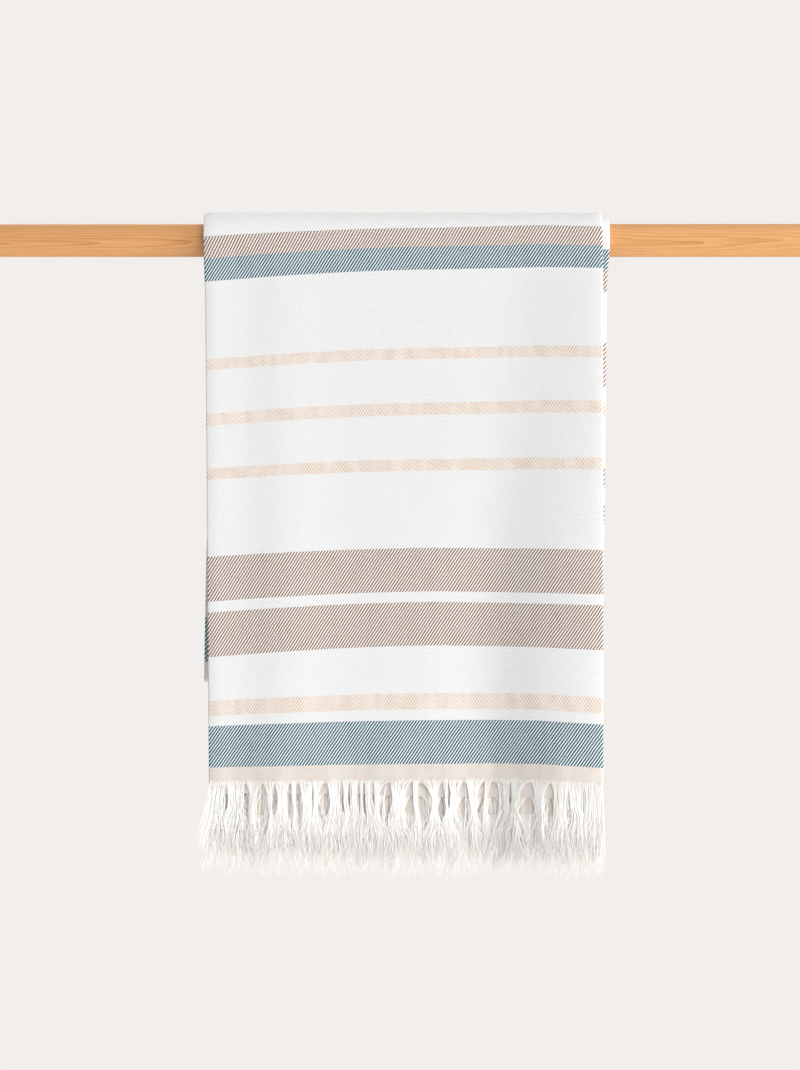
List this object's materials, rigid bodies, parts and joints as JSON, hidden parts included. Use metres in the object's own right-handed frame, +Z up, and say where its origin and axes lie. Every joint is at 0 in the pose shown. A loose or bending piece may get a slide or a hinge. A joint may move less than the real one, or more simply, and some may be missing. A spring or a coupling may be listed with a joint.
{
  "type": "fringed towel on a rod",
  "caption": "Flat-woven fringed towel folded in three and hung over a round wooden rod, with both fringed ends in front.",
  "frame": {"origin": "on the rod's axis at the middle of the towel, where the rod is held up", "axes": "+Z up, +X along the rod to the viewer's right, -Y toward the side that shows the fringed ends"},
  "size_m": [0.9, 0.0553, 0.5697],
  "materials": {
    "cloth": "white cotton twill with pale taupe, beige and grey-teal stripes",
    "outer_fringe": "loose white and natural cotton warp threads under a plain-woven header",
    "inner_fringe": "loose white and natural cotton warp threads under a plain-woven header",
    "rod": "smooth pale hardwood dowel, clear satin"
  },
  "bodies": {
    "root": {"cloth": "cloth", "outer_fringe": "outer_fringe", "inner_fringe": "inner_fringe", "rod": "rod"}
  },
  "joints": []
}
